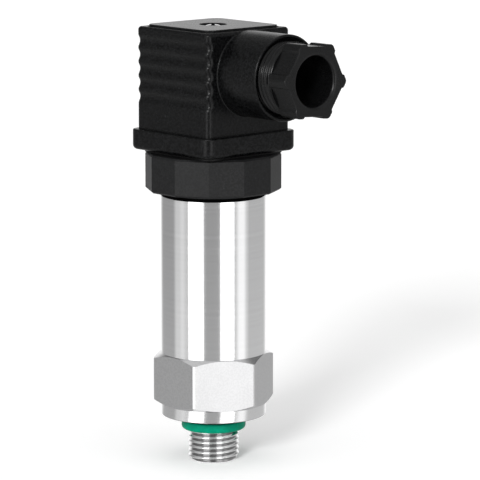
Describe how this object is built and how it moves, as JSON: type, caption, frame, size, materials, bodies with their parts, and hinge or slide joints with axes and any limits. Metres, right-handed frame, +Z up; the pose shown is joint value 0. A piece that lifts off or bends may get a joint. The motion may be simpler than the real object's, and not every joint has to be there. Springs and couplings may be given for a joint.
{
  "type": "pressure transmitter",
  "caption": "Slim steel pressure transmitter with a wrench hexagon, a male pipe thread with a green ring seal, and a square black plug with a cable gland on top.",
  "frame": {"origin": "centre of the free end of the process thread, at the mouth of the pressure port", "axes": "+Z up the body towards the plug, +X out along the cable gland"},
  "size_m": [0.0554, 0.034, 0.1135],
  "materials": {
    "turned_steel": "turned, satin",
    "tube_steel": "fine turned, bright",
    "green_rubber": "smooth",
    "black_rubber": "smooth",
    "grommet_rubber": "smooth",
    "gold_pins": "plated",
    "lead_wire": "smooth insulation",
    "board_green": "solder mask",
    "chip_black": "moulded",
    "can_metal": "drawn",
    "trimmer_blue": "moulded",
    "header_white": "moulded",
    "base_black": "fine spark-eroded grain",
    "plug_black": "fine spark-eroded grain",
    "gland_black": "smooth moulded",
    "block_grey": "moulded",
    "brass": "turned",
    "blade_metal": "tin plated",
    "screw_steel": "zinc plated",
    "washer_steel": "zinc plated"
  },
  "bodies": {
    "transmitter": {"process_connection": "turned_steel", "port_seal": "green_rubber", "body_tube": "tube_steel", "sensor_capsule": "turned_steel", "sensor_seal": "black_rubber", "retaining_ring": "turned_steel", "sensor_pins": "gold_pins", "sensor_leads": "lead_wire", "signal_board": "board_green", "signal_chip": "chip_black", "filter_capacitor": "can_metal", "zero_trimmer": "trimmer_blue", "span_trimmer": "trimmer_blue", "sensor_header": "header_white", "output_header": "header_white", "output_leads": "lead_wire", "base_seal": "black_rubber", "socket_base": "base_black", "threaded_insert": "brass", "profile_gasket": "black_rubber", "earth_blade": "blade_metal", "line_1_blade": "blade_metal", "line_2_blade": "blade_metal", "line_3_blade": "blade_metal"},
    "plug": {"plug_housing": "plug_black", "terminal_block": "block_grey", "terminal_screws": "screw_steel", "gland_grommet": "grommet_rubber", "earth_contact": "brass", "line_1_contact": "brass", "line_2_contact": "brass", "line_3_contact": "brass"},
    "screw_washer": {"screw_washer": "black_rubber"},
    "fixing_screw": {"fixing_screw": "screw_steel"},
    "gland_washer": {"gland_washer": "washer_steel"},
    "gland_nut": {"gland_nut": "gland_black"}
  },
  "joints": [
    {"name": "plug_lift", "type": "slide", "parent": "transmitter", "child": "plug", "axis": [0, 0, 1], "range_m": [0, 0.012]},
    {"name": "screw_rise", "type": "slide", "parent": "plug", "child": "screw_washer", "axis": [0, 0, 1], "range_m": [0, 0.0055]},
    {"name": "screw_turn", "type": "hinge", "parent": "screw_washer", "child": "fixing_screw", "pos_m": [0, 0, 0.112], "axis": [0, 0, 1], "range_deg": [0, 3961]},
    {"name": "gland_travel", "type": "slide", "parent": "plug", "child": "gland_washer", "axis": [1, 0, 0], "range_m": [0, 0.00564]},
    {"name": "gland_turn", "type": "hinge", "parent": "gland_washer", "child": "gland_nut", "pos_m": [0.03, 0, 0.10209], "axis": [1, 0, 0], "range_deg": [0, 1441]}
  ],
  "couplings": [
    {"joint": "screw_turn", "follows": "screw_rise", "rad_per_m": 12566},
    {"joint": "gland_turn", "follows": "gland_travel", "rad_per_m": 4453}
  ]
}
